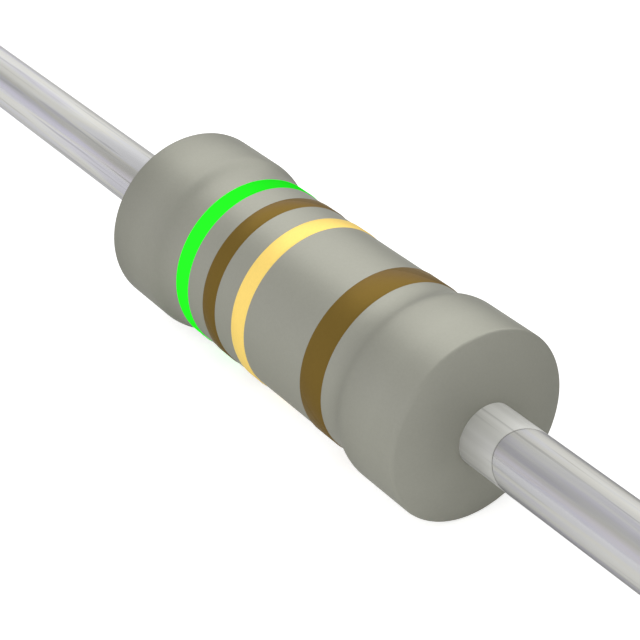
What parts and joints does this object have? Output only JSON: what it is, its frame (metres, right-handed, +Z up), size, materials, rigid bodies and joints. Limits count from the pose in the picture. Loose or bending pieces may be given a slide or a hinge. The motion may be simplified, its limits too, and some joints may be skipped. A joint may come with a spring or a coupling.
{
  "type": "axial resistor",
  "caption": "Axial power resistor with a dumbbell-shaped matt grey coating, colour code bands round its waist and a long straight tinned wire out of each end.",
  "frame": {"origin": "middle of the body, on the axis of the wires", "axes": "+X along the axis, out through the end with the tolerance band; +Y and +Z across it, +Z up in the pictured pose"},
  "size_m": [0.0624, 0.0024, 0.0024],
  "materials": {
    "coating": "matte",
    "green_paint": "matte",
    "brown_paint": "matte",
    "gold_paint": "satin",
    "tinned_copper": "satin",
    "cap_steel": "satin",
    "alumina": "matte",
    "film": "satin"
  },
  "bodies": {
    "root": {"ceramic_core": "alumina", "resistive_film": "film", "left_end_cap": "cap_steel", "right_end_cap": "cap_steel", "left_lead_wire": "tinned_copper", "right_lead_wire": "tinned_copper", "flameproof_coating": "coating", "first_digit_band": "green_paint", "second_digit_band": "brown_paint", "multiplier_band": "gold_paint", "tolerance_band": "brown_paint"}
  },
  "joints": []
}
